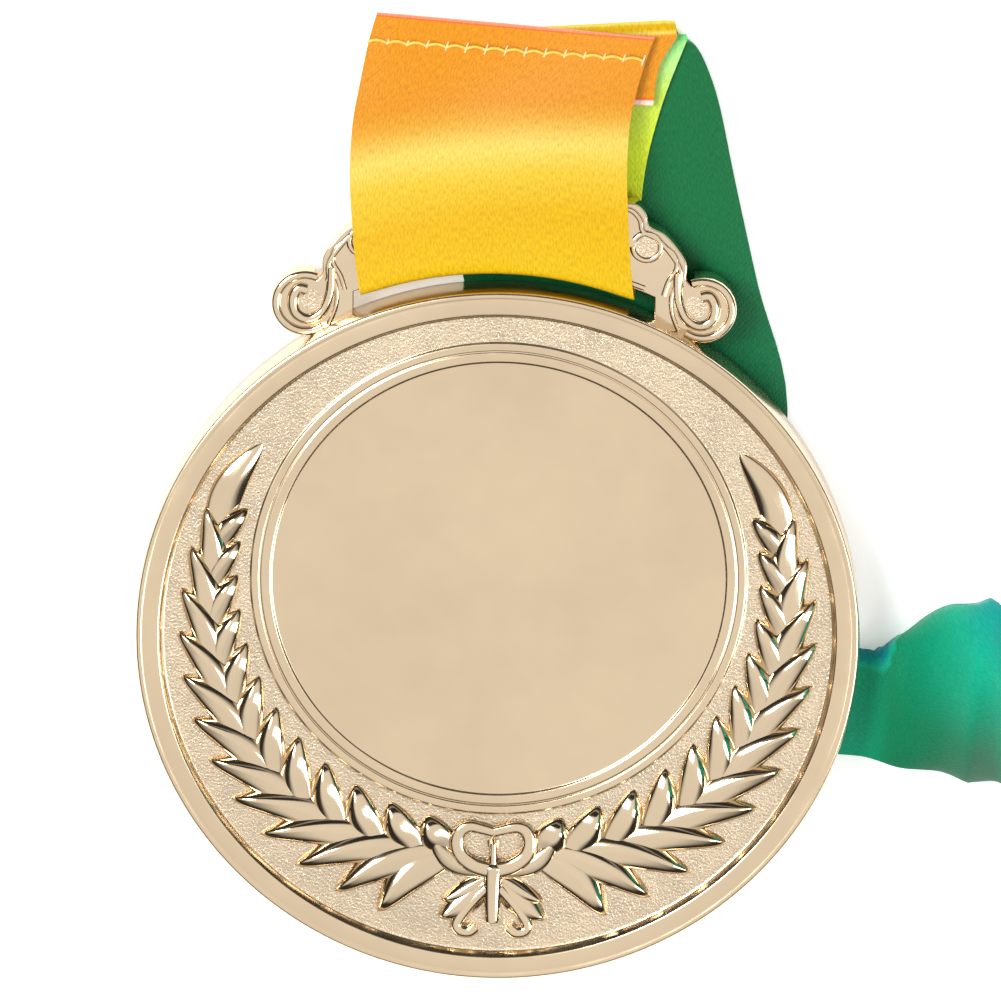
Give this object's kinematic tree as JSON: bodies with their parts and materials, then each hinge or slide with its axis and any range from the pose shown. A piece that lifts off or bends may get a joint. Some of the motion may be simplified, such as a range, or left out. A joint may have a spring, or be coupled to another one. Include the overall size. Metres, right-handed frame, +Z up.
{
  "type": "sports medal",
  "caption": "Round cast sports medal with laurel relief, an eccentric insert seat and a scroll hanger, on a sewn neck ribbon laid behind it.",
  "frame": {"origin": "on the surface it lies on, below the middle of the disc", "axes": "+Z up out of the medal's face, +Y towards the hanger, +X to the right as the face is read"},
  "size_m": [0.112, 0.0922, 0.0255],
  "materials": {
    "gold": "polished champagne gold plating",
    "relief": "bright polished champagne gold",
    "ribbon_warm": "satin ribbon, orange shading to yellow",
    "ribbon_cool": "satin ribbon, green shading to teal",
    "thread": "pale yellow sewing thread"
  },
  "bodies": {
    "ribbon": {"strap_one": "ribbon_cool", "strap_two": "ribbon_cool", "neck_tails": "ribbon_cool", "neck_roll": "ribbon_cool", "ribbon_end": "ribbon_warm", "seam_stitches": "thread", "ribbon_loop": "ribbon_warm"},
    "medal": {"medal_disc": "gold", "ribbon_hanger": "gold", "laurel_left": "relief", "laurel_right": "relief", "butterfly_knot": "relief"}
  },
  "joints": [
    {"name": "medal_lift", "type": "hinge", "parent": "ribbon", "child": "medal", "pos_m": [0, 0.0425, 0.002], "axis": [-1, 0, 0], "range_deg": [0, 90], "deforming": ["ribbon_loop"]}
  ]
}
